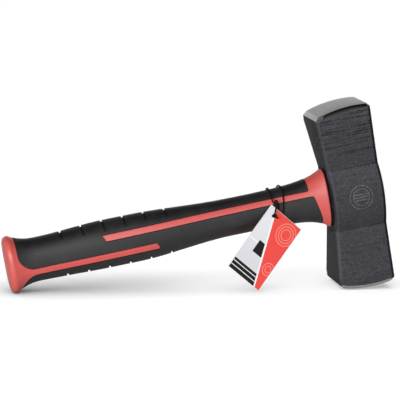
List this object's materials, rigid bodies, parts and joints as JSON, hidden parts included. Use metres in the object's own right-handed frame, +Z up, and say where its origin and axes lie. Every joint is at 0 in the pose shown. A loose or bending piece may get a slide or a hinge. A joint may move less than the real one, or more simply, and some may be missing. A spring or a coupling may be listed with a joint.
{
  "type": "club hammer",
  "caption": "Short-handled club hammer: double-faced steel head on a fibreglass core in a red and black moulded grip, with a card tag tied round its neck.",
  "frame": {"origin": "on the surface that the hammer stands on, under the middle of the hammer's box without its tag and string", "axes": "+X runs along the hammer from the butt to the head, leaning up the handle by the hammer's own rest angle; +Z is up; the tag hangs on the -Y side"},
  "size_m": [0.299, 0.0478, 0.1434],
  "materials": {
    "forged_steel": "dark lacquered forging with bare ground striking faces",
    "dark_resin": "poured epoxy, slightly glossy",
    "fibreglass": "sawn fibreglass rod",
    "red_plastic": "satin moulded polypropylene",
    "black_rubber": "soft-touch overmould",
    "black_string": "twisted thread",
    "printed_card": "coated card, printed pale grey and red"
  },
  "bodies": {
    "hammer": {"head": "forged_steel", "eye_resin": "dark_resin", "fibreglass_core": "fibreglass", "hard_jacket": "red_plastic", "soft_grip": "black_rubber", "tie_wraps": "black_string"},
    "tag_loop": {"tie_knot": "black_string"},
    "tag": {"tag": "printed_card"}
  },
  "joints": [
    {"name": "tag_lift", "type": "hinge", "parent": "hammer", "child": "tag_loop", "pos_m": [0.05484, -0.0164, 0.06752], "axis": [-0.9659, -0.2588, 0], "range_deg": [0, 90]},
    {"name": "tag_swing", "type": "hinge", "parent": "tag_loop", "child": "tag", "pos_m": [0.05281, -0.01694, 0.05782], "axis": [-0.2588, 0.9659, 0], "range_deg": [0, 60]}
  ]
}
